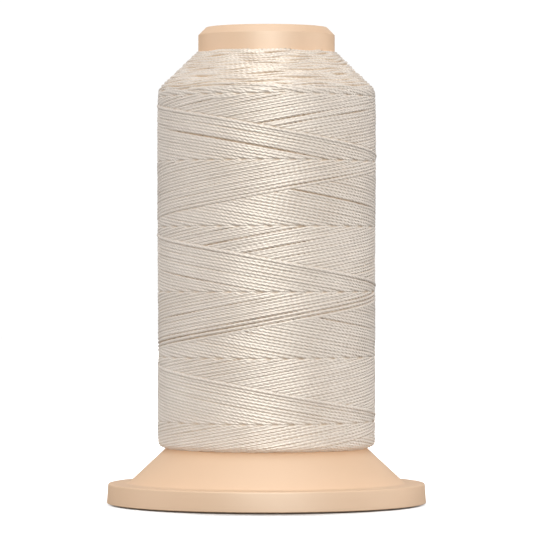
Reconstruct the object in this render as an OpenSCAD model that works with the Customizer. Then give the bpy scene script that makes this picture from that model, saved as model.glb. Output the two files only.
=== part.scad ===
// Foot spool of twisted thread: a tube between a conical foot and a lifting top
// cap, wound with thread. Millimetres, +Z up, origin on the spool's axis where the
// foot meets the table.

/* [Overall] */
// Height from the table to the top of the cap
total_h = 89.6; // [60:0.1:140]
// Outer radius of the winding tube and of the cap
barrel_r = 12.83; // [9:0.01:20]
// Radius of the hole for the thread stand's rod
spindle_bore_r = 4.0; // [2.5:0.1:7]

/* [Foot] */
// Radius of the flange where its rim is widest
flange_r = 30; // [22:0.1:45]
// Height of the flange's rim
flange_h = 4.0; // [2.5:0.1:8]
// How much narrower the rim is at its top than at its bottom
rim_draft = 0.22; // [0:0.01:0.6]
// Radius where the foot's cone meets the flange
cone_base_r = 26.0; // [18:0.1:40]
// Angle between the foot's cone and the spool's axis
cone_angle = 47; // [35:1:60]
// Height that the rim stands clear of the table, on a ring under the base plate
stand_h = 0.3; // [0.1:0.05:0.8]
// Outer radius of that ring
stand_r = 25.6; // [24.5:0.1:27.5]
// Wall of the foot
foot_wall = 1.6; // [1:0.1:3]
// Number of radial ribs under the foot
rib_count = 8; // [3:1:12]
// Thickness of a rib
rib_t = 1.2; // [0.8:0.1:2]

/* [Cap] */
// Width of the bevel round the cap's top
cap_bevel = 1.45; // [0.4:0.05:3]
// Height of the cap's outer wall
cap_h = 5.4; // [3:0.1:10]
// Slot left between the closed cap and the tube's end
lock_gap = 0.15; // [0.1:0.01:0.4]
// How far the cap lifts to let the thread's end in
cap_lift = 3.0; // [1:0.1:5]

/* [Winding] */
// Radius of the full winding
thread_r = 20.45; // [15:0.05:28]
// Depth of the last cross-wound layer
outer_layer = 1.3; // [0.6:0.1:3]
// Height of the winding's top end against the cap
thread_top = 84.95; // [60:0.05:130]
// Drop of the winding's top end for each millimetre of radius
top_slope = 0.955; // [0.5:0.005:1.5]

/* [Labels] */
// Thickness of the paper labels
label_t = 0.12; // [0.08:0.01:0.3]

/* [Hidden] */
$fn = 96;
tube_wall = 1.5;
tube_bore_r = barrel_r - tube_wall;
fit_gap = 0.05;
slide_gap = 0.08;
spindle_wall = 1.1;
spindle_r = spindle_bore_r + spindle_wall;
slope = 1 / tan(cone_angle);
seat_z = flange_h + (cone_base_r - barrel_r) * slope;
tube_top = total_h - cap_h - lock_gap;
stand_w = 1.4;
edge_r = 0.15;
rim_top_r = 0.3;
fillet_r = 1.0;
rim_wall = 1.8;
ceiling_z = flange_h - foot_wall;
plate_z = 0.9;
plate_t = 1.2;
plate_r = flange_r - rim_wall;
plate_gap = 0.1;
sleeve_wall = 1.2;
sleeve_top = 21;
spigot_h = 10;
spigot_wall = 1.3;
plate_hole_gap = 0.15;
groove_depth = 0.42;
bead_depth = 0.3;
bead_h = 1.0;
bead_z = tube_top - 5.2;
groove_clear = 0.12;
skirt_h = 6.2;
skirt_wall = 1.3;
finger_slot = 2.0;
finger_count = 4;
cap_plate_t = 1.4;
cap_hole_r = spindle_bore_r + 0.4;
cap_recess = 0.3;
cap_recess_r = 10.6;
boss_wall = 1.2;
boss_h = 9;
edge_break = 0.25;
layer_gap = 0.03;
winding_gap = 0.04;
rest_r = 18.85;

// Height of the foot's cone at radius r.
function cone_z(r) = flange_h + (cone_base_r - r) * slope;

// Height of the winding's top end at radius r.
function top_z(r) = thread_top - (r - barrel_r) * top_slope;

// Points of an arc, for rounding a corner in a turned profile.
function arc(cx, cz, r, a0, a1, n) = [
    for (i = [0:n]) let (a = a0 + (a1 - a0) * i / n) [cx + r * cos(a), cz + r * sin(a)]
];

// Plain tube standing on z0.
module ring(r_out, r_in, z0, h) {
    translate([0, 0, z0])
    difference() {
        cylinder(r = r_out, h = h);
        translate([0, 0, -1]) cylinder(r = r_in, h = h + 2);
    }
}

// Outside of the foot: rounded rim, flange, small fillet, cone and spigot.
module foot_turned() {
    fillet_back = fillet_r * tan((90 - cone_angle) / 2);
    fillet_cx = cone_base_r + fillet_back;
    inner_r = tube_bore_r - fit_gap - spigot_wall;
    // Wall measured square to the cone, turned into a step along the radius.
    inner_step = foot_wall / cos(cone_angle);
    rotate_extrude()
    polygon(concat(
        [
            [plate_r, stand_h]
        ],
        arc(flange_r - edge_r, stand_h + edge_r, edge_r, -90, 0, 3),
        arc(flange_r - rim_draft - rim_top_r, flange_h - rim_top_r, rim_top_r, 0, 90, 4),
        arc(fillet_cx, flange_h + fillet_r, fillet_r, 270, 180 + cone_angle, 3),
        [
            [barrel_r, seat_z],
            [tube_bore_r - fit_gap, seat_z],
            [tube_bore_r - fit_gap, seat_z + spigot_h - 0.6],
            [tube_bore_r - fit_gap - 0.6, seat_z + spigot_h],
            [inner_r, seat_z + spigot_h],
            [inner_r, ceiling_z + (cone_base_r - inner_step + 0.9 - inner_r) * slope],
            [cone_base_r - inner_step + 0.9, ceiling_z],
            [plate_r - 1, ceiling_z],
            [plate_r - 1, plate_z + plate_t],
            [plate_r, plate_z + plate_t]
        ]
    ));
}

// Radial ribs under the cone, kept just inside its wall.
module foot_ribs() {
    rib_low = plate_z + plate_t + 0.1;
    rib_mid_r = 8.2;
    rib_out_r = cone_base_r - 1.6;
    for (i = [0:rib_count - 1])
        rotate([90, 0, 360 / rib_count * i])
        linear_extrude(rib_t, center = true)
        polygon([
            [spindle_r + 0.6, rib_low],
            [rib_out_r, rib_low],
            [rib_out_r, flange_h - 1.2],
            [rib_mid_r + 4.2, cone_z(rib_mid_r + 4.2) - foot_wall],
            [spindle_r + 0.6, cone_z(rib_mid_r + 4.2) - foot_wall]
        ]);
}

module foot() {
    color([0.95, 0.83, 0.71])
    union() {
        foot_turned();
        foot_ribs();
        ring(spindle_r + fit_gap + sleeve_wall, spindle_r + fit_gap, plate_z + plate_t + 0.1,
             sleeve_top - plate_z - plate_t - 0.1);
    }
}

// Disc pressed up into the rim, closing the underside of the foot, with the ring it stands on.
module base_plate() {
    color([0.93, 0.80, 0.68])
    rotate_extrude()
    polygon([
        [spindle_r + plate_hole_gap, plate_z],
        [stand_r - stand_w, plate_z],
        [stand_r - stand_w, 0],
        [stand_r, 0],
        [stand_r, plate_z],
        [plate_r - plate_gap - 0.3, plate_z],
        [plate_r - plate_gap, plate_z + 0.3],
        [plate_r - plate_gap, plate_z + plate_t - 0.02],
        [spindle_r + plate_hole_gap, plate_z + plate_t - 0.02]
    ]);
}

module base_label() {
    color([0.96, 0.96, 0.94])
    ring(23.5, 8.5, plate_z - label_t - 0.01, label_t);
}

// Tube that carries the winding, with an inside groove for the cap's beads.
module winding_tube() {
    groove_low = bead_z - groove_clear;
    groove_high = bead_z + bead_h + cap_lift + groove_clear;
    color([0.94, 0.81, 0.69])
    difference() {
        ring(barrel_r, tube_bore_r, seat_z + 0.02, tube_top - seat_z - 0.02);
        translate([0, 0, groove_low])
            cylinder(r = tube_bore_r + groove_depth, h = groove_high - groove_low);
    }
}

// Thin tube that guides the stand's rod through the whole spool.
module spindle_tube() {
    color([0.92, 0.90, 0.86])
    ring(spindle_r, spindle_bore_r, plate_z, total_h - cap_plate_t - cap_recess - 0.3 - plate_z);
}

// Winding built up over the tube, both ends conical: everything under the last layer.
module thread_inner_layers() {
    r0 = barrel_r + winding_gap;
    r1 = thread_r - outer_layer - layer_gap;
    color([0.86, 0.82, 0.76])
    rotate_extrude()
    polygon([
        [r0, cone_z(r0) + winding_gap],
        [rest_r, cone_z(rest_r) + winding_gap],
        [r1, cone_z(r1) + 0.5],
        [r1, top_z(r1)],
        [r0, top_z(r0)]
    ]);
}

// Last cross-wound layer: the face that shows, with a rounded lower edge.
module thread_outer_layer() {
    r0 = thread_r - outer_layer;
    r1 = thread_r;
    z0 = cone_z(r0) + 0.55;
    color([0.88, 0.84, 0.78])
    rotate_extrude()
    polygon([
        [r0, z0],
        [r0 + 0.45, z0 + 0.2],
        [r0 + 0.85, z0 + 0.5],
        [r1 - 0.2, z0 + 0.9],
        [r1 - 0.1, z0 + 1.6],
        [r1, 60],
        [r1, 70],
        [r1 - 0.12, 76],
        [r1 - 0.3, 77.4],
        [r1 - 0.5, 78.1],
        [r0, top_z(r0)]
    ]);
}

// Cap: bevelled wall and top plate, boss round the spindle tube, and a skirt cut
// into four spring fingers whose beads ride in the winding tube's groove.
module top_cap() {
    wall_low = total_h - cap_h;
    skirt_r = tube_bore_r - slide_gap;
    skirt_low = tube_top - skirt_h;
    plate_low = total_h - cap_recess - cap_plate_t;
    color([0.95, 0.83, 0.71])
    difference() {
        union() {
            rotate_extrude()
            polygon([
                [cap_hole_r, plate_low],
                [spindle_r + slide_gap, plate_low],
                [spindle_r + slide_gap, plate_low - boss_h],
                [spindle_r + slide_gap + boss_wall, plate_low - boss_h],
                [spindle_r + slide_gap + boss_wall, plate_low],
                [skirt_r - skirt_wall, plate_low],
                [skirt_r - skirt_wall, skirt_low],
                [skirt_r - 0.3, skirt_low],
                [skirt_r, skirt_low + 0.3],
                [skirt_r, wall_low],
                [barrel_r, wall_low],
                [barrel_r, total_h - cap_bevel],
                [barrel_r - cap_bevel + edge_break * 0.3, total_h - edge_break * 0.3],
                [barrel_r - cap_bevel - edge_break * 0.5, total_h],
                [cap_recess_r, total_h],
                [cap_recess_r, total_h - cap_recess],
                [cap_hole_r, total_h - cap_recess]
            ]);
            rotate_extrude()
            polygon([
                [skirt_r - 0.5, bead_z],
                [skirt_r + 0.05, bead_z],
                [skirt_r + bead_depth, bead_z + 0.35],
                [skirt_r + bead_depth, bead_z + 0.7],
                [skirt_r + 0.05, bead_z + bead_h],
                [skirt_r - 0.5, bead_z + bead_h]
            ]);
        }
        for (i = [0:finger_count - 1])
            rotate([0, 0, 360 / finger_count * i + 45])
            translate([8.6, -finger_slot / 2, skirt_low - 1])
            cube([5, finger_slot, skirt_h + 0.5]);
    }
}

module top_label() {
    color([0.96, 0.96, 0.94])
    ring(cap_recess_r - 0.5, cap_hole_r + 0.7, total_h - cap_recess + 0.01, label_t);
}

foot();
base_plate();
base_label();
winding_tube();
spindle_tube();
thread_inner_layers();
thread_outer_layer();
top_cap();
top_label();
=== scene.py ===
"""Looks of the thread spool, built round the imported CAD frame.

The plastic parts are turned again with fine, rounded profiles. The thread is a relief: every yarn
of the crossing layers, with its three plies, is worked out on a grid wrapped round the package.
Lengths are in millimetres until a mesh is made; azimuth 0 is the front (-Y), rising towards +X.
"""

import math

import bpy
import numpy as np
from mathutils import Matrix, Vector


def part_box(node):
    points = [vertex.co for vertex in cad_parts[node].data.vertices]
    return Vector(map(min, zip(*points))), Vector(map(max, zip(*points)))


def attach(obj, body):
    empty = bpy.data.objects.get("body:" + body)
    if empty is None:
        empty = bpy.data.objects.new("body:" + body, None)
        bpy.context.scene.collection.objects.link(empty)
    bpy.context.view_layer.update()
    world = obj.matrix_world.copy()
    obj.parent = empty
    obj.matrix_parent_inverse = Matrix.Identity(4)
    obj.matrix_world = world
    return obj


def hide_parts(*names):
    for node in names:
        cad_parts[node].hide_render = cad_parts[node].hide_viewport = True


MM = 0.001
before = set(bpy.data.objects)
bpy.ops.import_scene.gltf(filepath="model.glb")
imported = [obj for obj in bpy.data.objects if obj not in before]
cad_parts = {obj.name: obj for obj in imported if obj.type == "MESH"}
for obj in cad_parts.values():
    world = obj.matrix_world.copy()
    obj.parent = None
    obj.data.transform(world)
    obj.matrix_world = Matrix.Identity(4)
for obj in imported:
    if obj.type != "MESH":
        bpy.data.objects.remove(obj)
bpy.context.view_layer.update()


# ---------------------------------------------------------------- camera

# Millimetres from the axis and above the floor, then the lens in pixels of the picture's side.
CAMERA_DISTANCE = 702.6
CAMERA_HEIGHT = 44.4
FOCAL_PIXELS = 3735.0
SHIFT_PIXELS = 1.5
IMAGE_SIDE = 533
SENSOR = 36.0


def build_camera():
    """A level camera in front of the object, at half its height."""
    data = bpy.data.cameras.new("camera")
    data.sensor_width = SENSOR
    data.lens = FOCAL_PIXELS / IMAGE_SIDE * SENSOR
    data.clip_start, data.clip_end = 0.05, 20
    data.shift_y = SHIFT_PIXELS / IMAGE_SIDE
    camera = bpy.data.objects.new("camera", data)
    camera.location = (0, -CAMERA_DISTANCE * MM, CAMERA_HEIGHT * MM)
    camera.rotation_euler = (math.pi / 2, 0, 0)
    bpy.context.collection.objects.link(camera)
    bpy.context.scene.camera = camera


build_camera()


# ---------------------------------------------------------------- sizes from the frame


def node_box(node):
    """Lowest and highest corner of a CAD node, in millimetres."""
    low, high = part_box(node)
    return Vector(low) / MM, Vector(high) / MM


foot_high = node_box("foot")[1]
plate_high = node_box("base_plate")[1]
base_label_low, base_label_high = node_box("base_label")
tube_low, tube_high = node_box("winding_tube")
spindle_low, spindle_high = node_box("spindle_tube")
inner_high = node_box("thread_inner_layers")[1]
outer_high = node_box("thread_outer_layer")[1]
cap_high = node_box("top_cap")[1]
top_label_low, top_label_high = node_box("top_label")

FLANGE_R = foot_high.x
FLANGE_H = 4.0
RIM_DRAFT = 0.22
CONE_BASE_R = 26.0
CONE_ANGLE = 47
CONE_SLOPE = 1 / math.tan(math.radians(CONE_ANGLE))
FOOT_WALL = 1.6
BARREL_R = tube_high.x
TUBE_BORE = BARREL_R - 1.5
TUBE_TOP = tube_high.z
SEAT_Z = tube_low.z - 0.02
TOTAL_H = cap_high.z
CAP_BEVEL = 1.45
CAP_WALL_LOW = TOTAL_H - 5.4
BORE_R = 4.0
SPINDLE_R = spindle_high.x
THREAD_R = outer_high.x


def cone_z(radius):
    """Height of the foot's cone at a radius."""
    return FLANGE_H + (CONE_BASE_R - radius) * CONE_SLOPE


# ---------------------------------------------------------------- meshes


def arc(centre, radius, start, end, steps):
    """Points (r, z) of an arc about centre, from start to end degrees."""
    angles = np.radians(np.linspace(start, end, steps + 1))
    return [(centre[0] + radius * math.cos(a), centre[1] + radius * math.sin(a)) for a in angles]


def add_object(name, vertices, faces, material, sharp=35):
    """Makes a smooth-shaded mesh object from millimetre vertices, with edges over sharp degrees
    kept crisp."""
    mesh = bpy.data.meshes.new(name)
    mesh.from_pydata([tuple(c * MM for c in v) for v in vertices], [], faces)
    mesh.validate()
    mesh.polygons.foreach_set("use_smooth", [True] * len(mesh.polygons))
    mesh.set_sharp_from_angle(angle=math.radians(sharp))
    mesh.materials.append(material)
    obj = bpy.data.objects.new(name, mesh)
    bpy.context.collection.objects.link(obj)
    return obj


def lathe(profile, segments=192, start=0.0, end=360.0):
    """Vertices and faces of a closed profile turned about Z. Under a full turn the ends are capped."""
    full = abs(end - start) >= 359.999
    columns = segments if full else segments + 1
    angles = np.radians(start + (end - start) * np.arange(columns) / segments)
    count = len(profile)
    vertices = [(r * math.sin(a), -r * math.cos(a), z) for a in angles for r, z in profile]
    faces = []
    for i in range(segments):
        here, there = i * count, ((i + 1) % columns) * count
        for j in range(count):
            k = (j + 1) % count
            faces.append((here + j, there + j, there + k, here + k))
    if not full:
        faces.append(tuple(reversed(range(count))))
        faces.append(tuple(segments * count + j for j in range(count)))
    return vertices, faces


def joined(*parts):
    """Puts several (vertices, faces) lists in one."""
    vertices, faces = [], []
    for part_vertices, part_faces in parts:
        shift = len(vertices)
        vertices += part_vertices
        faces += [tuple(v + shift for v in face) for face in part_faces]
    return vertices, faces


def slab(outline, thickness, azimuth):
    """A flat plate with an (r, z) outline, standing radially at an azimuth in degrees."""
    a = math.radians(azimuth)
    across = Vector((math.cos(a), math.sin(a), 0)) * thickness / 2
    vertices = []
    for side in (-1, 1):
        for r, z in outline:
            vertices.append(tuple(Vector((r * math.sin(a), -r * math.cos(a), z)) + across * side))
    n = len(outline)
    faces = [tuple(range(n)), tuple(reversed(range(n, 2 * n)))]
    faces += [(j, j + n, (j + 1) % n + n, (j + 1) % n) for j in range(n)]
    return vertices, faces


# ---------------------------------------------------------------- materials


def new_material(name):
    """A material with its Principled shader, ready for more nodes."""
    material = bpy.data.materials.new(name)
    material.use_nodes = True
    nodes = material.node_tree.nodes
    return material, nodes, material.node_tree.links, nodes["Principled BSDF"]


def noise(nodes, links, vector, scale, detail=3.0, rough=0.5):
    """A noise texture read at a vector socket."""
    node = nodes.new("ShaderNodeTexNoise")
    node.inputs["Scale"].default_value = scale
    node.inputs["Detail"].default_value = detail
    node.inputs["Roughness"].default_value = rough
    links.new(vector, node.inputs["Vector"])
    return node.outputs["Fac"]


def remap(nodes, links, value, low, high, out_low, out_high):
    """A Map Range node."""
    node = nodes.new("ShaderNodeMapRange")
    for name, number in (("From Min", low), ("From Max", high), ("To Min", out_low), ("To Max", out_high)):
        node.inputs[name].default_value = number
    links.new(value, node.inputs["Value"])
    return node.outputs["Result"]


def mix_colour(nodes, links, factor, a, b):
    """Mixes two plain colours by a factor socket."""
    node = nodes.new("ShaderNodeMix")
    node.data_type = "RGBA"
    node.inputs["A"].default_value = (*a, 1)
    node.inputs["B"].default_value = (*b, 1)
    links.new(factor, node.inputs["Factor"])
    return node.outputs["Result"]


def bump(nodes, links, height, strength, distance, shader):
    """Bumps the shader's normal with a height socket."""
    node = nodes.new("ShaderNodeBump")
    node.inputs["Strength"].default_value = strength
    node.inputs["Distance"].default_value = distance
    links.new(height, node.inputs["Height"])
    links.new(node.outputs["Normal"], shader.inputs["Normal"])


def plastic(name, light, dark, roughness):
    """Satin moulded plastic: faint flow marks in the colour, uneven gloss and a very fine moulded grain."""
    material, nodes, links, shader = new_material(name)
    place = nodes.new("ShaderNodeTexCoord").outputs["Object"]
    flow = noise(nodes, links, place, 45, 4)
    links.new(mix_colour(nodes, links, remap(nodes, links, flow, 0.3, 0.7, 0, 1), dark, light),
              shader.inputs["Base Color"])
    smear = noise(nodes, links, place, 220, 3)
    links.new(remap(nodes, links, smear, 0.3, 0.7, roughness - 0.03, roughness + 0.04),
              shader.inputs["Roughness"])
    bump(nodes, links, noise(nodes, links, place, 2600, 2), 0.06, 0.00005, shader)
    shader.inputs["IOR"].default_value = 1.5
    shader.inputs["Specular IOR Level"].default_value = 0.9
    return material


def thread_material():
    """Twisted polyester: shade varies from ply to ply and along the filaments, which also give a fine bump.
    Where the relief lies deep the colour goes over to a warm brown: painted shade in the grooves between
    yarns and plies."""
    material, nodes, links, shader = new_material("thread")
    fibre = nodes.new("ShaderNodeAttribute")
    fibre.attribute_name = "fibre"
    stretch = nodes.new("ShaderNodeVectorMath")
    stretch.operation = "MULTIPLY"
    stretch.inputs[1].default_value = (0.35, 9.0, 1.0)
    links.new(fibre.outputs["Vector"], stretch.inputs[0])
    filaments = noise(nodes, links, stretch.outputs["Vector"], 3.0, 2)
    place = nodes.new("ShaderNodeTexCoord").outputs["Object"]
    patches = noise(nodes, links, place, 160, 3)
    both = nodes.new("ShaderNodeMath")
    both.operation = "ADD"
    links.new(filaments, both.inputs[0])
    links.new(patches, both.inputs[1])
    shade = remap(nodes, links, both.outputs["Value"], 0.75, 1.25, 0, 1)
    crest = mix_colour(nodes, links, shade, THREAD_DARK, THREAD_LIGHT)
    # Painted shade: the deeper a point lies under the crests, the more its colour goes to the brown of the
    # grooves.
    groove = nodes.new("ShaderNodeAttribute")
    groove.attribute_name = "groove"
    sunk = nodes.new("ShaderNodeMix")
    sunk.data_type = "RGBA"
    links.new(remap(nodes, links, groove.outputs["Fac"], 0.12, 0.5, 0, 1), sunk.inputs["Factor"])
    links.new(crest, sunk.inputs["A"])
    sunk.inputs["B"].default_value = (*THREAD_PAINTED_SHADE, 1)
    links.new(sunk.outputs["Result"], shader.inputs["Base Color"])
    links.new(remap(nodes, links, filaments, 0.3, 0.7, 0.46, 0.56), shader.inputs["Roughness"])
    bump(nodes, links, filaments, 0.35, 0.00003, shader)
    shader.inputs["Sheen Weight"].default_value = 0.15
    shader.inputs["Sheen Roughness"].default_value = 0.5
    shader.inputs["IOR"].default_value = 1.6
    shader.inputs["Specular IOR Level"].default_value = 0.72
    return material


def paper(name, tint):
    """Plain coated label paper with a faint fibre mottle."""
    material, nodes, links, shader = new_material(name)
    place = nodes.new("ShaderNodeTexCoord").outputs["Object"]
    mottle = noise(nodes, links, place, 900, 4, 0.7)
    dark = tuple(c * 0.93 for c in tint)
    links.new(mix_colour(nodes, links, remap(nodes, links, mottle, 0.35, 0.65, 0, 1), dark, tint),
              shader.inputs["Base Color"])
    links.new(remap(nodes, links, mottle, 0.35, 0.65, 0.5, 0.62), shader.inputs["Roughness"])
    bump(nodes, links, mottle, 0.1, 0.00004, shader)
    return material


THREAD_LIGHT = (0.71, 0.635, 0.565)
THREAD_DARK = (0.65, 0.57, 0.50)
# The brown painted as shade into the deep grooves of the thread.
THREAD_PAINTED_SHADE = (0.56, 0.41, 0.265)
peach = plastic("spool_peach", (0.74, 0.495, 0.315), (0.72, 0.48, 0.30), 0.58)
guide = plastic("guide_white", (0.80, 0.76, 0.70), (0.77, 0.73, 0.67), 0.45)
thread = thread_material()
label = paper("label_paper", (0.86, 0.86, 0.84))


# ---------------------------------------------------------------- plastic parts and labels

PLATE_R = FLANGE_R - 1.8
STAND_R = 25.6
STAND_WIDTH = 1.4
CEILING_Z = FLANGE_H - FOOT_WALL
PLATE_TOP = plate_high.z + 0.02
SLEEVE_TOP = 21
RIBS = 8
RIB_THICKNESS = 1.2
RIB_TOP_R = 12.4
WALL = 1.3
RECESS_R = 10.6
RECESS = 0.3
SKIRT_LENGTH = 6.2
BEAD_DROP = 5.2
CAP_LIFT = 3.0


def build_foot():
    """Flange, cone and spigot in one turned profile, with the sleeve and the ribs inside it."""
    edge, top_edge, fillet, clear = 0.15, 0.3, 1.0, 0.3
    back = fillet * math.tan(math.radians((90 - CONE_ANGLE) / 2))
    spigot_out = TUBE_BORE - 0.05
    spigot_in = spigot_out - WALL
    inner_r = CONE_BASE_R - FOOT_WALL / math.cos(math.radians(CONE_ANGLE)) + 0.9
    spigot_top = foot_high.z
    profile = (
        [(PLATE_R, clear + 0.1), (PLATE_R + 0.1, clear)]
        + arc((FLANGE_R - edge, clear + edge), edge, -90, 0, 8)
        + arc((FLANGE_R - RIM_DRAFT - top_edge, FLANGE_H - top_edge), top_edge, 0, 90, 8)
        + arc((CONE_BASE_R + back, FLANGE_H + fillet), fillet, 270, 180 + CONE_ANGLE, 6)
        + [
            (BARREL_R, SEAT_Z),
            (spigot_out, SEAT_Z),
            (spigot_out, spigot_top - 0.6),
            (spigot_out - 0.6, spigot_top),
            (spigot_in, spigot_top),
            (spigot_in, CEILING_Z + (inner_r - spigot_in) * CONE_SLOPE),
            (inner_r, CEILING_Z),
            (PLATE_R - 1, CEILING_Z),
            (PLATE_R - 1, PLATE_TOP),
            (PLATE_R, PLATE_TOP),
        ]
    )
    rib_low, rib_out = PLATE_TOP + 0.1, CONE_BASE_R - FOOT_WALL
    rib_top = cone_z(RIB_TOP_R) - FOOT_WALL
    rib = [(SPINDLE_R + 0.6, rib_low), (rib_out, rib_low), (rib_out, FLANGE_H - 1.2),
           (RIB_TOP_R, rib_top), (SPINDLE_R + 0.6, rib_top)]
    sleeve_in, sleeve_out = SPINDLE_R + 0.05, SPINDLE_R + 1.25
    sleeve = [(sleeve_in, rib_low), (sleeve_out, rib_low), (sleeve_out, SLEEVE_TOP),
              (sleeve_in, SLEEVE_TOP)]
    parts = [lathe(profile, 256), lathe(sleeve, 96)]
    parts += [slab(rib, RIB_THICKNESS, 90 - 360 / RIBS * i) for i in range(RIBS)]
    return add_object("foot_shell", *joined(*parts), peach)


def build_cap():
    """Bevelled head with its boss and recess, and four spring fingers with beads."""
    skirt_r = TUBE_BORE - 0.08
    skirt_in = skirt_r - WALL
    plate_z = TOTAL_H - RECESS - 1.4
    boss_in, boss_out = SPINDLE_R + 0.08, SPINDLE_R + 1.28
    hole_r = BORE_R + 0.4
    crisp = 0.18
    bevel_low = (BARREL_R, TOTAL_H - CAP_BEVEL)
    bevel_high = (BARREL_R - CAP_BEVEL, TOTAL_H)
    shift = crisp * math.tan(math.radians(22.5))
    head = (
        [(hole_r, plate_z), (boss_in, plate_z), (boss_in, plate_z - 9), (boss_out, plate_z - 9),
         (boss_out, plate_z), (skirt_in, plate_z), (skirt_in, CAP_WALL_LOW - 0.6),
         (skirt_r, CAP_WALL_LOW - 0.6), (skirt_r, CAP_WALL_LOW), (BARREL_R - 0.15, CAP_WALL_LOW),
         (BARREL_R, CAP_WALL_LOW + 0.15)]
        + arc((bevel_low[0] - crisp, bevel_low[1] - shift), crisp, 0, 45, 4)
        + arc((bevel_high[0] - shift, bevel_high[1] - crisp), crisp, 45, 90, 4)
        + [(RECESS_R + 0.1, TOTAL_H), (RECESS_R, TOTAL_H - 0.1), (RECESS_R, TOTAL_H - RECESS),
           (hole_r + 0.15, TOTAL_H - RECESS), (hole_r, TOTAL_H - RECESS - 0.15)]
    )
    skirt_low, bead_z = TUBE_TOP - SKIRT_LENGTH, TUBE_TOP - BEAD_DROP
    finger = [(skirt_in, skirt_low), (skirt_r - 0.3, skirt_low), (skirt_r, skirt_low + 0.3),
              (skirt_r, bead_z), (skirt_r + 0.3, bead_z + 0.35), (skirt_r + 0.3, bead_z + 0.7),
              (skirt_r, bead_z + 1.0), (skirt_r, CAP_WALL_LOW - 0.5), (skirt_in, CAP_WALL_LOW - 0.5)]
    half_slot = math.degrees(math.asin(1.0 / skirt_r))
    fingers = [lathe(finger, 40, 90 * i + 45 + half_slot, 90 * i + 135 - half_slot) for i in range(4)]
    return add_object("cap_shell", *joined(lathe(head, 256), *fingers), peach, 30)


def build_ring(name, outer_r, inner_r, low, high, material, edge=0.0, segments=192):
    """A plain tube or flat ring, its four edges broken by edge."""
    profile = [(inner_r + edge, low), (outer_r - edge, low), (outer_r, low + edge),
               (outer_r, high - edge), (outer_r - edge, high), (inner_r + edge, high),
               (inner_r, high - edge), (inner_r, low + edge)]
    if edge == 0:
        profile = [(inner_r, low), (outer_r, low), (outer_r, high), (inner_r, high)]
    return add_object(name, *lathe(profile, segments), material, 30)


def build_disc():
    """The base plate, with the low ring that the spool stands on."""
    edge, under = 0.2, base_label_high.z + 0.01
    hole, outer, top = SPINDLE_R + 0.15, plate_high.x, plate_high.z
    stand_in = STAND_R - STAND_WIDTH
    profile = [(hole + edge, under), (stand_in, under), (stand_in, edge), (stand_in + edge, 0),
               (STAND_R - edge, 0), (STAND_R, edge), (STAND_R, under), (outer - edge, under),
               (outer, under + edge), (outer, top - edge), (outer - edge, top), (hole + edge, top),
               (hole, top - edge), (hole, under + edge)]
    return add_object("base_disc", *lathe(profile, 192), peach, 30)


def build_tube():
    """The winding tube, with the inside groove that the cap's beads ride in."""
    edge, groove_r = 0.2, TUBE_BORE + 0.42
    groove_low, groove_high = TUBE_TOP - BEAD_DROP - 0.12, TUBE_TOP - BEAD_DROP + 1 + CAP_LIFT + 0.12
    profile = [(TUBE_BORE, tube_low.z), (BARREL_R, tube_low.z), (BARREL_R, TUBE_TOP - edge),
               (BARREL_R - edge, TUBE_TOP), (TUBE_BORE + edge, TUBE_TOP), (TUBE_BORE, TUBE_TOP - edge),
               (TUBE_BORE, groove_high), (groove_r, groove_high), (groove_r, groove_low),
               (TUBE_BORE, groove_low)]
    return add_object("tube_wall", *lathe(profile), peach, 30)


def place(obj, body, node, slot):
    """Fixes a piece to its body, in place of a CAD node where one is named."""
    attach(obj, body)
    if node:
        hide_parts(node)


place(build_foot(), "spool", "foot", "spool_plastic")
place(build_tube(), "spool", "winding_tube", "spool_plastic")
place(build_disc(), "spool", "base_plate", "spool_plastic")
place(build_ring("guide_tube", SPINDLE_R, BORE_R, spindle_low.z, spindle_high.z, guide, 0.15, 128),
      "spool", "spindle_tube", "guide_plastic")
place(build_ring("label_bottom", base_label_high.x, 8.5, base_label_low.z, base_label_high.z, label),
      "spool", "base_label", "label_paper")
place(build_cap(), "cap", "top_cap", "spool_plastic")
place(build_ring("label_top", top_label_high.x, BORE_R + 1.1, top_label_low.z, top_label_high.z, label),
      "cap", "top_label", "label_paper")


# ---------------------------------------------------------------- the winding

# The crossing layer: height that a yarn climbs in one turn, yarns side by side in that height, and
# the unevenness of the climb once and twice a turn.
PITCH_TURN = 24.3
YARNS = 43
SPACING = PITCH_TURN / YARNS
BEND_ONCE = 0.34
BEND_TWICE = 0.17
# Heights at azimuth 0 of the yarns that were wound last, going up and going down.
NEWEST_UP = 58.1
NEWEST_DOWN = 70.4
# The end rows: spacing, the radius that their length is counted on, and rows climbed in one turn.
END_SPACING = 0.71
END_R = 17.0
END_ROWS = 8
# Arc lengths where the crossing layer sinks away and where the end rows come up.
CROSS_END = 77.5
END_START = 76.6
# One yarn: its radius, that of its three plies, how far they lie from its centre, and length of twist.
YARN_R = 0.34
PLY_R = 0.6 * YARN_R
PLY_OUT = 0.4 * YARN_R
LAY = 3.05
# Depths: of a yarn that another one crosses, of a yarn that ends, and of the deepest gap.
CROSS_DROP = 0.42
SINK = 1.0
DEEPEST = 0.75
# The relief's columns round the axis, and the step between its rows.
COLUMNS = 860
ROW = 0.085


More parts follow.
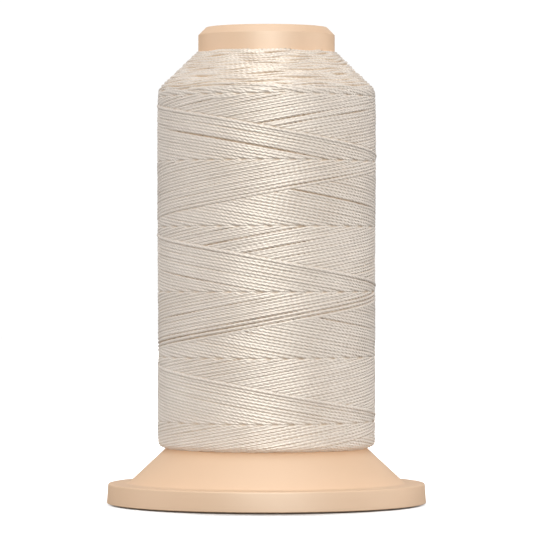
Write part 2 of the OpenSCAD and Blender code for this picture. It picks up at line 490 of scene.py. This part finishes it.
def meridian():
    """The package's outline over the yarns' crests, from the foot's cone up to the cap, with its arc length
    counted so that it equals the height on the straight part."""
    wall = [(20.43, 12.6), (20.45, 16), (20.48, 24), (20.45, 29), (20.48, 38), (20.50, 48), (20.54, 58),
            (20.56, 67), (20.54, 73), (20.48, 76)]
    points = (
        [(18.15, 10.25), (18.85, 10.5)]
        + arc((19.42, 11.80), 0.98, -63, 0, 7)[:-1]
        + wall
        + [(20.42, 77.3), (20.28, 78.0), (19.96, 78.5), (19.54, 78.93), (13.40, 84.82), (12.95, 85.05)]
    )
    r, z = np.array(points).T
    length = np.concatenate([[0], np.cumsum(np.hypot(np.diff(r), np.diff(z)))])
    straight = int(np.argmax(z > 38.0))
    return length + z[straight] - length[straight], r, z


def smooth(x):
    x = np.clip(x, 0, 1)
    return x * x * (3 - 2 * x)


def helix(phi):
    """Height gained by a yarn over an azimuth in radians. The guide moved a little unevenly over
    each turn."""
    return PITCH_TURN / math.tau * (phi - BEND_ONCE * np.sin(phi) + BEND_TWICE * np.sin(2 * phi))


def wobble(seed, number, turn_angle, size, waves, pace):
    """A slow sideways wander, different for each yarn number, along its own unwound angle."""
    source = np.random.default_rng(seed)
    table = source.uniform(0, math.tau, (waves, 512))
    rates = source.uniform(1.5, 7.0, waves) * pace
    total = 0
    for k in range(waves):
        total = total + np.sin(rates[k] * turn_angle + table[k][number % 512])
    return size * total / math.sqrt(waves)


def spread(seed, count, unevenness):
    """How far each of count yarns sits from its even place, in spacings."""
    step = 1 + unevenness * np.random.default_rng(seed).standard_normal(count)
    step = np.clip(step, 0.7, 1.5)
    step *= count / step.sum()
    centre = np.cumsum(step) - step / 2
    offset = centre - (np.arange(count) + 0.5)
    return offset - offset.mean()


def drifted(drifts, number, unwound):
    """Sideways shift, in spacings, of yarns that strayed for part of a turn. Each drift is
    (yarn number, middle and half length of the stretch in turns, shift)."""
    total = 0
    for which, middle, reach, shift in drifts:
        away = np.abs(unwound / math.tau - middle) / reach
        total = total + np.where(number == which, shift * smooth((1 - away) * 1.7), 0)
    return total


def opened(number, middle, reach, width):
    """A gap between a yarn and the next one, as two drifts."""
    return [(number, middle, reach, -width / 2), (number + 1, middle, reach, width / 2)]


def plies(across, angle):
    """Height over a yarn's centre of its three twisted plies, and which ply shows."""
    best = np.full(across.shape, -1.0)
    shown = np.zeros(across.shape, int)
    offset = np.zeros(across.shape)
    for k in range(3):
        turn = angle + math.tau * k / 3
        side = across + PLY_OUT * np.sin(turn)
        height = PLY_OUT * np.cos(turn) + np.sqrt(np.maximum(PLY_R**2 - side**2, 0))
        height = np.where(np.abs(side) < PLY_R, height, -1.0)
        higher = height > best
        best = np.where(higher, height, best)
        shown = np.where(higher, k, shown)
        offset = np.where(higher, side, offset)
    return best, shown, offset


class Layer:
    """The highest thing met so far at each grid point, as depth under the crests, with its fibre
    coordinates."""

    def __init__(self, shape):
        self.depth = np.full(shape, DEEPEST)
        self.fibre = np.zeros(shape + (3,))

    def add(self, depth, along, across, tag):
        nearer = depth < self.depth
        self.depth = np.where(nearer, depth, self.depth)
        for axis, value in enumerate((along, across, tag)):
            self.fibre[..., axis] = np.where(nearer, value, self.fibre[..., axis])


def wind(layer, position, phi, radius, count, offsets, seed, centre_depth, handed, drifts=(), sway=0.05,
         spacing=SPACING, pace=1.0, flat=0.2, swelling=0.0):
    """Adds one family of parallel yarns. position is the place across the family in spacings, radius
    the one that the yarns' lengths are counted on, handed the side that the family climbs to. flat
    mixes round yarns into the twisted ones, and swelling deepens the grooves between them."""
    whole = np.floor(position).astype(int)
    tilt = math.atan(PITCH_TURN / math.tau / THREAD_R)
    phase = np.cumsum(np.random.default_rng(seed).normal(0.27 * math.tau / 3, 0.35, count))
    level = np.random.default_rng(seed + 1).normal(0, 0.018, count)
    for side in (-1, 0, 1):
        index = whole + side
        number = index % count
        unwound = phi + math.tau * (index // count)
        centre = index + 0.5 + offsets[number] + wobble(seed + 2, number, unwound, sway, 3, pace)
        centre = centre + drifted(drifts, number, unwound)
        across = (position - centre) * spacing * math.cos(tilt) * handed
        along = radius * unwound / math.cos(tilt)
        turn = math.tau * along / LAY + phase[number]
        height, ply, offset = plies(across, turn)
        bare = np.sqrt(np.maximum(YARN_R**2 - across**2, 0))
        depth = (1 - flat) * (YARN_R - height) + (flat + swelling) * (YARN_R - bare)
        depth = depth + centre_depth(number, unwound) + level[number]
        layer.add(np.where(height > -0.9, depth, 9.0), along, offset, number * 3 + ply)


def winding_grid():
    """Depth and fibre grids over the whole package, with the outline they stand on."""
    s_all, r_all, z_all = meridian()
    rows = int(round((s_all[-1] - s_all[0]) / ROW)) + 1
    s = np.linspace(s_all[0], s_all[-1], rows)
    r, z = np.interp(s, s_all, r_all), np.interp(s, s_all, z_all)
    dr, dz = np.gradient(r, s), np.gradient(z, s)
    kernel = np.hanning(9)[1:-1]
    kernel /= kernel.sum()
    dr = np.convolve(np.pad(dr, 3, "edge"), kernel, "valid")
    dz = np.convolve(np.pad(dz, 3, "edge"), kernel, "valid")
    size = np.hypot(dr, dz)
    normal = np.stack([dz / size, -dr / size])
    phi = np.arange(COLUMNS) * math.tau / COLUMNS
    S, PHI = np.meshgrid(s, phi, indexing="ij")
    layer = Layer(S.shape)

    # Both families of the crossing layer, and where each lies over the other.
    up = (S - helix(PHI) - NEWEST_UP) / SPACING
    down = (NEWEST_DOWN - S - helix(PHI)) / SPACING
    up_age, down_age = up % YARNS, down % YARNS

    def cover(age, rival):
        """1 where the rival family, with the given age at this place, was wound over a yarn of this age."""
        inside = np.minimum(rival, age - rival)
        outside = -np.minimum(rival - age, YARNS - rival)
        return smooth(np.where(rival < age, inside, outside) / 1.6 + 0.5)

    # The crossing layer and the end rows pass under each other at the shoulder, each yarn at its own
    # height.
    def sink(seed, number, unwound, edge, way):
        """How far a yarn has sunk beyond an edge, upwards for way 1 and downwards for way -1."""
        return SINK * smooth(way * (S - edge - wobble(seed, number, unwound, 0.8, 3, 1.0)) / 1.8)

    swell = 0.05 * np.sin(2 * PHI + S / 9) + 0.04 * np.sin(5 * PHI - S / 6 + 2)
    # Yarns that strayed, and gaps that opened between two of them.
    up_drifts = [(0, -1, 0.42, -0.72), (1, -1, 0.45, -0.46), (2, -1, 0.45, -0.2), (0, 0.05, 0.2, -0.15)]
    up_drifts += opened(22, 0.0, 0.12, 0.32) + opened(20, 0.1, 0.11, 0.35) + opened(8, -1.1, 0.12, 0.25)
    up_drifts += opened(29, -1.0, 0.18, 0.26) + opened(24, -1.03, 0.16, 0.26) + opened(33, -0.9, 0.2, 0.26)
    up_drifts += opened(37, -0.86, 0.17, 0.24) + opened(13, -0.4, 0.2, 0.3) + opened(4, 0.45, 0.15, 0.35)
    down_drifts = [(0, 1, 0.45, -0.15), (0, 2, 0.3, -0.2), (1, 2, 0.3, -0.1)]
    down_drifts += opened(6, -0.05, 0.15, 0.36) + opened(18, 0.1, 0.13, 0.34) + opened(10, 0.95, 0.16, 0.24)
    down_drifts += opened(15, 1.1, 0.18, 0.24) + opened(9, 1.5, 0.2, 0.35) + opened(26, 0.4, 0.2, 0.3)
    wind(layer, up, PHI, THREAD_R, YARNS, spread(11, YARNS, 0.03), 21,
         lambda n, turn: (CROSS_DROP * cover(n + 0.5, down_age) + sink(61, n, turn, CROSS_END, 1)
                          + swell * 0.5),
         1, up_drifts)
    wind(layer, down, PHI, THREAD_R, YARNS, spread(13, YARNS, 0.03), 31,
         lambda n, turn: (CROSS_DROP * cover(n + 0.5, up_age) + sink(62, n, turn, CROSS_END, 1)
                          + swell * 0.5 - 0.13 * (n == 0)),
         -1, down_drifts)

    # End rows on the shoulder and the top cone: a shallow family over a second one, whose yarns come
    # up in places.
    rise = END_ROWS * END_SPACING / math.tau * PHI
    wave = 0.16 * np.sin(7 * PHI + 0.9 * S) + 0.1 * np.sin(12 * PHI - 1.3 * S + 1)
    up_end = (S - 60 - rise + wave) / END_SPACING
    down_end = (100 - S - rise - wave) / END_SPACING
    families = ((up_end, 41, 1, 0.05, 0.05), (down_end, 51, -1, 0.36, 0.22))
    for position, seed, handed, under, dip in families:
        wind(layer, position, PHI, END_R, END_ROWS, spread(seed, END_ROWS, 0.1), seed,
             lambda n, turn, seed=seed, under=under, dip=dip: (
                 under + wobble(seed + 5, n, turn, dip, 3, 1.6) + sink(seed + 6, n, turn, END_START, -1)),
             handed, (), 0.14, END_SPACING, 1.8, 0.22, 0.75)
    return s, r, z, normal, phi, layer


s_grid, r_grid, z_grid, normal_grid, phi_grid, layer = winding_grid()
depth = layer.depth
x_r = np.maximum(r_grid[:, None] - normal_grid[0][:, None] * depth, BARREL_R + 0.03)
x_z = z_grid[:, None] - normal_grid[1][:, None] * depth
points = np.stack([x_r * np.sin(phi_grid), -x_r * np.cos(phi_grid), x_z], -1)

# Normals from the whole grid, so that the bands meet without a seam.
d_phi = np.roll(points, -1, 1) - np.roll(points, 1, 1)
d_s = np.gradient(points, axis=0)
normals = np.cross(d_phi, d_s)
normals /= np.linalg.norm(normals, axis=-1, keepdims=True)


def build_band(name, first, last, back):
    """A ring of the package: rows first to last of the relief, closed behind by (r, z) points, top
    first."""
    rows = last - first + 1
    front = points[first:last + 1].reshape(-1, 3)
    rings = []
    for r, z in back:
        rings.append(np.stack([r * np.sin(phi_grid), -r * np.cos(phi_grid), np.full(COLUMNS, z)], -1))
    vertices = np.concatenate([front, *rings]) * MM
    ring_of = np.arange(rows + len(back))
    quads = []
    column = np.arange(COLUMNS)
    beside = (column + 1) % COLUMNS
    for ring in ring_of:
        above = (ring + 1) % (rows + len(back))
        quads.append(np.stack([ring * COLUMNS + column, ring * COLUMNS + beside,
                               above * COLUMNS + beside, above * COLUMNS + column], -1))
    quads = np.concatenate(quads)
    mesh = bpy.data.meshes.new(name)
    mesh.vertices.add(len(vertices))
    mesh.vertices.foreach_set("co", vertices.ravel())
    mesh.loops.add(quads.size)
    mesh.loops.foreach_set("vertex_index", quads.ravel())
    mesh.polygons.add(len(quads))
    mesh.polygons.foreach_set("loop_start", np.arange(len(quads)) * 4)
    mesh.update(calc_edges=True)
    fibre = mesh.attributes.new("fibre", "FLOAT_VECTOR", "POINT")
    values = np.zeros((len(vertices), 3), np.float32)
    values[:rows * COLUMNS] = layer.fibre[first:last + 1].reshape(-1, 3)
    fibre.data.foreach_set("vector", values.ravel())
    # Depth under the crests, which the thread's material turns into painted shade in the grooves.
    groove = mesh.attributes.new("groove", "FLOAT", "POINT")
    values = np.zeros(len(vertices), np.float32)
    values[:rows * COLUMNS] = depth[first:last + 1].ravel()
    groove.data.foreach_set("value", values)
    mesh.polygons.foreach_set("use_smooth", np.ones(len(quads), bool))
    custom = np.zeros((len(vertices), 3))
    custom[:rows * COLUMNS] = normals[first:last + 1].reshape(-1, 3)
    mesh.normals_split_custom_set_from_vertices(custom.tolist())
    mesh.materials.append(thread)
    obj = bpy.data.objects.new(name, mesh)
    bpy.context.collection.objects.link(obj)
    return obj


# Inside radii of the last layer and the build-up, and where the build-up rests on the cone.
OUTER_IN = THREAD_R - 1.3
INNER_OUT = OUTER_IN - 0.03
INNER_IN = BARREL_R + 0.04
REST_R = 18.85
# Arc length where the last layer's bands end and the shoulder begins.
SHOULDER_S = 78.9
shoulder_row = int(np.argmax(s_grid > SHOULDER_S))
bands = 8
edges = np.linspace(0, shoulder_row, bands + 1).astype(int)
for i in range(bands):
    low, high = edges[i], edges[i + 1]
    back_low = max(z_grid[low], cone_z(OUTER_IN) + 0.55)
    back_high = min(z_grid[high] - 0.6, outer_high.z - 0.3)
    band = build_band(f"thread_band_{i + 1}", low, high, [(OUTER_IN, back_high), (OUTER_IN, back_low)])
    place(band, "spool", "thread_outer_layer" if i == 0 else None, "thread")
inner_back = [(INNER_IN, inner_high.z - 0.2), (INNER_IN, cone_z(INNER_IN) + 0.25),
              (REST_R, cone_z(REST_R) + 0.25), (INNER_OUT, cone_z(REST_R) + 0.6),
              (INNER_OUT, z_grid[shoulder_row] - 0.5)]
place(build_band("thread_shoulder", shoulder_row, len(s_grid) - 1, inner_back),
      "spool", "thread_inner_layers", "thread")


# ---------------------------------------------------------------- stage and light

FLOOR_R = 1600.0
FLOOR_LIGHT = 44.0
KEY_TINT = (1.0, 0.92, 0.79)
WARM = (1.0, 0.945, 0.85)
# Height of a direction, from 0 straight down to 1 straight up, and the studio's brightness there.
SKY = ((0.30, 0.15), (0.44, 0.25), (0.478, 1.02), (0.5375, 1.02), (0.58, 1.0), (0.9, 1.0))


def build_floor():
    """A pale floor. The object doesn't see it: the sky's lower part stands in for its bounce."""
    material, nodes, links, shader = new_material("floor_white")
    place_out = nodes.new("ShaderNodeTexCoord").outputs["Object"]
    grain = noise(nodes, links, place_out, 30, 2)
    colour = mix_colour(nodes, links, grain, (0.60, 0.60, 0.60), (0.63, 0.63, 0.63))
    links.new(colour, shader.inputs["Base Color"])
    shader.inputs["Roughness"].default_value = 0.7
    shader.inputs["Specular IOR Level"].default_value = 0.2
    mesh = bpy.data.meshes.new("floor")
    angles = np.linspace(0, math.tau, 96, endpoint=False)
    ring = [(FLOOR_R * MM * math.cos(a), FLOOR_R * MM * math.sin(a), 0) for a in angles]
    mesh.from_pydata(ring, [], [tuple(range(96))])
    mesh.materials.append(material)
    floor = bpy.data.objects.new("floor", mesh)
    floor.visible_diffuse = floor.visible_glossy = floor.visible_shadow = False
    bpy.context.collection.objects.link(floor)


def softbox(name, azimuth, elevation, distance, width, height, radiance, gloss=True, diffuse=True,
            tint=(1, 1, 1)):
    """An area light facing the middle of the object, seen in reflections, by matt surfaces, or by both.
    Lengths are in millimetres."""
    light = bpy.data.lights.new(name, "AREA")
    light.shape = "RECTANGLE"
    light.size, light.size_y = width * MM, height * MM
    light.energy = radiance * math.pi * light.size * light.size_y
    light.color = tint
    obj = bpy.data.objects.new(name, light)
    a, e = math.radians(azimuth), math.radians(elevation)
    away = Vector((math.sin(a) * math.cos(e), -math.cos(a) * math.cos(e), math.sin(e)))
    obj.location = Vector((0, 0, TOTAL_H / 2 * MM)) + away * distance * MM
    obj.rotation_mode = "QUATERNION"
    obj.rotation_quaternion = away.to_track_quat("Z", "Y")
    obj.visible_glossy, obj.visible_diffuse = gloss, diffuse
    bpy.context.collection.objects.link(obj)
    return obj


def build_light():
    """Soft boxes round the object, two more behind it for the floor alone, and a pale sky."""
    above = [softbox("key_shine", 0, 34, 1500, 340, 900, 72.0, diffuse=False, tint=KEY_TINT),
             softbox("key_soft", 12, 10, 1500, 1000, 800, 1.75, gloss=False, tint=WARM),
             softbox("front_strip", 16, 1, 1300, 1000, 320, 10.0, diffuse=False, tint=WARM),
             softbox("top_shine", 0, 88, 1500, 1100, 900, 3.0, diffuse=False),
             softbox("left_side", -85, 8, 1500, 1000, 800, 2.5),
             softbox("right_side", 85, 8, 1500, 1000, 800, 1.7),
             softbox("right_shine", 95, 6, 1500, 900, 700, 3.4, diffuse=False, tint=WARM),
             softbox("back_soft", 180, 35, 1500, 1400, 800, 0.7)]
    behind = [softbox("floor_left", -132, 15, 1700, 1300, 700, FLOOR_LIGHT, gloss=False),
              softbox("floor_right", 132, 15, 1700, 1300, 700, FLOOR_LIGHT, gloss=False)]
    for name, lights, state in (("all_but_floor", above, "EXCLUDE"), ("only_floor", behind, "INCLUDE")):
        group = bpy.data.collections.new(name)
        group.objects.link(bpy.data.objects["floor"])
        group.collection_objects[0].light_linking.link_state = state
        for light in lights:
            light.light_linking.receiver_collection = group
    world = bpy.data.worlds.new("studio")
    world.use_nodes = True
    nodes, links = world.node_tree.nodes, world.node_tree.links
    split = nodes.new("ShaderNodeSeparateXYZ")
    links.new(nodes.new("ShaderNodeTexCoord").outputs["Generated"], split.inputs["Vector"])
    ramp = nodes.new("ShaderNodeValToRGB")
    ramp.color_ramp.elements.remove(ramp.color_ramp.elements[1])
    for i, (height, grey) in enumerate(SKY):
        stop = ramp.color_ramp.elements[0] if i == 0 else ramp.color_ramp.elements.new(height)
        stop.position, stop.color = height, (grey, grey, grey, 1)
    links.new(remap(nodes, links, split.outputs["Z"], -1, 1, 0, 1), ramp.inputs["Fac"])
    links.new(ramp.outputs["Color"], nodes["Background"].inputs["Strength"])
    nodes["Background"].inputs["Color"].default_value = (1, 1, 1, 1)
    world.cycles_visibility.glossy = False
    bpy.context.scene.world = world


build_floor()
build_light()
bpy.context.scene.view_settings.view_transform = "Standard"
